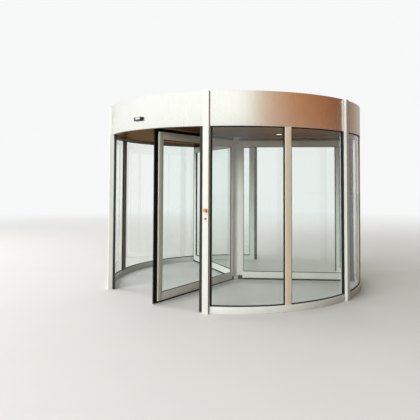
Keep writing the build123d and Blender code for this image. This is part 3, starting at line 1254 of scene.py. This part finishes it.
for side, way in entrance_way.items():
    angle = post_angles[side]
    column(edges, angle, facing(way, neck_outline), edge_bottom, clear_height)
    column(edges, angle, facing(way, bulb_outline), edge_bottom, clear_height - 0.0005)
piece("safety_edge_rubbers", edges, edge_rubber, "drum", ["safety_edges"])


# Sensors: a dark moulded housing on the fascia over each entrance, with a silvered lens strip
# let into its face.
def moulded(name, color, roughness):
    """Moulded plastic with a very fine grain."""
    finish = begin(name)
    tone = finish.grain(20)
    sockets = {
        "Base Color": finish.tones(tone, color, 0.95, 1),
        "Roughness": roughness + 0.08 * tone,
        "Normal": finish.relief(finish.grain(1400, 1), 0.2, 0.00005),
    }
    return finish.close(finish.skin(sockets))


sensor_black = moulded("sensor_black", (0.022, 0.022, 0.025), 0.28)
lens_silver = brushed("lens_silver", (0.72, 0.74, 0.75), 0.2, (30, 30, 700), 0.00008)
sensor_middle = 2.332
window_middle = 2.339
sensor_depth = 0.032
sensor_half = (0.071, 0.025)
sensor_window = (0.049, 0.014)
housing_rounding = 0.01
window_rounding = 0.009
sensor_radius = drum_radius + sensor_depth
housing_steps = (
    (0.001, 0.0005), (0, 0.002), (0, 0.009), (0.0006, 0.0094), (0.0006, 0.0104), (0, 0.0108),
    (0, 0.027), (0.0006, 0.0296), (0.0018, 0.0314), (0.0032, sensor_depth),
)
window_steps = ((-0.001, 0), (0, 0.0007), (0, 0.0058))
lens_inset = 0.0006
lens_steps = ((1, 0.0055), (1, 0.0038), (0.97, 0.003), (0.9, 0.0027))


def face_outline(half_sizes, inset, radius):
    """Outline of a rectangle with round corners, drawn in by an inset."""
    w, h = (half - inset for half in half_sizes)
    return rounded(rectangle((-w, w), (-h, h), radius), steps=6)


housings = bmesh.new()
lens_strips = bmesh.new()
for angle in entrance_middles:
    rings = []
    for inset, depth in housing_steps:
        outline = face_outline(sensor_half, inset, housing_rounding - 0.6 * inset)
        rings.append([at(angle, x, drum_radius + depth, sensor_middle + z) for x, z in outline])
    for inset, back in window_steps:
        outline = face_outline(sensor_window, inset, window_rounding)
        rings.append([at(angle, x, sensor_radius - back, window_middle + z) for x, z in outline])
    loft(housings, rings)

    outline = face_outline(sensor_window, lens_inset, window_rounding - 0.0005)
    rings = [
        [at(angle, x * f, sensor_radius - back, window_middle + z * f) for x, z in outline]
        for f, back in lens_steps
    ]
    loft(lens_strips, rings)
piece("sensor_cases", housings, sensor_black, "drum", ["sensor_housings"])
piece("sensor_lenses", lens_strips, lens_silver, "drum", ["sensor_windows"])


# Buttons: on the cap of one post at each entrance, an orange mushroom-head stop button in a grey
# ring, and a smaller red button in its own ring below it.
stop_orange = moulded("stop_orange", (0.86, 0.27, 0.05), 0.25)
slow_red = moulded("slow_red", (0.6, 0.07, 0.08), 0.3)
ring_grey = moulded("ring_grey", (0.5, 0.5, 0.49), 0.4)
button_posts = ("front_right", "rear_left")
stop_height = 1.205
slow_height = 1.106
stop_ring = [(0.0195, 0), (0.02, 0.001), (0.02, 0.007), (0.0185, 0.009), (0.0135, 0.009)]
stop_head = [
    (0.013, 0.0085), (0.0125, 0.016), (0.014, 0.018), (0.0215, 0.019), (0.023, 0.0205),
    (0.023, 0.0265), (0.0222, 0.0285), (0.019, 0.0302), (0.012, 0.0309), (0.004, 0.031),
]
slow_ring = [(0.0145, 0), (0.015, 0.0006), (0.015, 0.003), (0.0138, 0.004)]
slow_head = [(0.0112, 0.0035), (0.0112, 0.0085), (0.0104, 0.0096), (0.008, 0.01), (0.002, 0.0097)]

stops = bmesh.new()
slows = bmesh.new()
button_rings = bmesh.new()
for side in button_posts:
    angle = post_angles[side]
    for height, drawing, profile in (
        (stop_height, button_rings, stop_ring),
        (stop_height, stops, stop_head),
        (slow_height, button_rings, slow_ring),
        (slow_height, slows, slow_head),
    ):
        axes = Matrix((at(angle, 1, 0, 0), Vector((0, 0, 1)), at(angle, 0, 1, 0)))
        place = axes.transposed().to_4x4()
        place.translation = at(angle, 0, cap_radius, height)
        turned(drawing, profile, place)
piece("stop_heads", stops, stop_orange, "drum", ["emergency_stops"])
piece("slow_heads", slows, slow_red, "drum", ["slow_buttons"])
piece("button_rings", button_rings, ring_grey, "drum")
